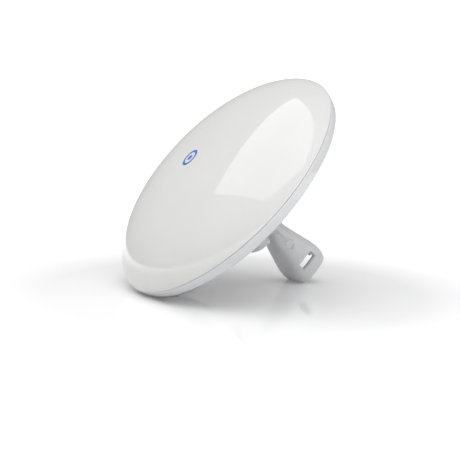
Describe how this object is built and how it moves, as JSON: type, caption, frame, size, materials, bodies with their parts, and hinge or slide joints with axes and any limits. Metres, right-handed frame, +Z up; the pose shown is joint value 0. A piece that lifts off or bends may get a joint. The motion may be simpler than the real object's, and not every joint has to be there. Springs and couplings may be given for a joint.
{
  "type": "outdoor wireless bridge",
  "caption": "Compact outdoor point-to-point dish radio: domed radome over a shallow bowl, and a ball-jointed hollow arm with strap slots for a pole band.",
  "frame": {"origin": "on the surface that the radio stands on, below the middle of its bounding box", "axes": "+Z up; the boresight points towards -Y and 39.76 degrees up; +X is to the right seen from the front side looking along +Y"},
  "size_m": [0.189, 0.1484, 0.1497],
  "materials": {
    "radome_white": "gloss white moulded plastic",
    "shell_white": "gloss white moulded plastic",
    "mount_grey": "satin light grey moulded plastic",
    "natural_plastic": "natural moulded plastic",
    "seal_grey": "soft grey rubber",
    "grommet_rubber": "black rubber",
    "reflector_metal": "spun aluminium, satin",
    "tin_plate": "bright tin plate",
    "screw_steel": "zinc plated steel",
    "contact_brass": "gold flashed contacts",
    "board_green": "green solder mask",
    "chip_black": "black moulded epoxy",
    "led_lens": "clear domed lens",
    "light_pipe_clear": "polished clear plastic"
  },
  "bodies": {
    "dish": {"radome": "radome_white", "radome_seal": "seal_grey", "rear_shell": "shell_white", "reflector": "reflector_metal", "feed_tube": "natural_plastic", "feed_board": "board_green", "dipole_lower": "contact_brass", "dipole_upper": "contact_brass", "feed_cap": "natural_plastic", "subreflector": "reflector_metal", "main_board": "board_green", "radio_shield": "tin_plate", "radio_chip": "chip_black", "memory_chip": "chip_black", "processor": "chip_black", "lan_transformer": "chip_black", "ethernet_jack": "tin_plate", "jack_contacts": "contact_brass", "led_power": "led_lens", "led_lan": "led_lens", "led_signal_low": "led_lens", "led_signal_high": "led_lens", "light_pipe": "light_pipe_clear", "reset_switch": "chip_black", "board_screw_1": "screw_steel", "board_screw_2": "screw_steel", "board_screw_3": "screw_steel", "board_screw_4": "screw_steel"},
    "port_cover": {"port_cover": "shell_white", "cable_grommet": "grommet_rubber"},
    "reset_button": {"reset_button": "chip_black"},
    "seat_ring": {"seat_ring": "natural_plastic"},
    "ball": {"ball": "mount_grey", "ball_screw": "screw_steel"},
    "arm": {"arm": "mount_grey"},
    "thrust_ring": {"thrust_ring": "screw_steel"},
    "lock_nut": {"lock_nut": "mount_grey"}
  },
  "joints": [
    {"name": "mount_turn", "type": "hinge", "parent": "dish", "child": "seat_ring", "pos_m": [0, 0.01802, 0.05491], "axis": [0, 0.7687, -0.6396], "continuous": true},
    {"name": "mount_tilt", "type": "hinge", "parent": "seat_ring", "child": "ball", "pos_m": [0, 0.01802, 0.05491], "axis": [1, 0, 0], "range_deg": [-17, 23]},
    {"name": "arm_spin", "type": "hinge", "parent": "ball", "child": "arm", "pos_m": [0, 0.01802, 0.05491], "axis": [0, 0.7342, -0.6789], "continuous": true},
    {"name": "nut_turn", "type": "hinge", "parent": "thrust_ring", "child": "lock_nut", "pos_m": [0, 0.01802, 0.05491], "axis": [0, 0.7687, -0.6396], "range_deg": [0, 360]},
    {"name": "nut_travel", "type": "slide", "parent": "dish", "child": "thrust_ring", "axis": [0, 0.7687, -0.6396], "range_m": [0, 0.003]},
    {"name": "cover_slide", "type": "slide", "parent": "dish", "child": "port_cover", "axis": [0, -0.8511, -0.525], "range_m": [0, 0.026]},
    {"name": "reset_press", "type": "slide", "parent": "dish", "child": "reset_button", "axis": [0, 0.6396, 0.7687], "range_m": [0, 0.0006], "stiffness_N_per_m": 2000}
  ],
  "couplings": [
    {"joint": "nut_travel", "follows": "nut_turn", "m_per_rad": 0.00047746}
  ]
}
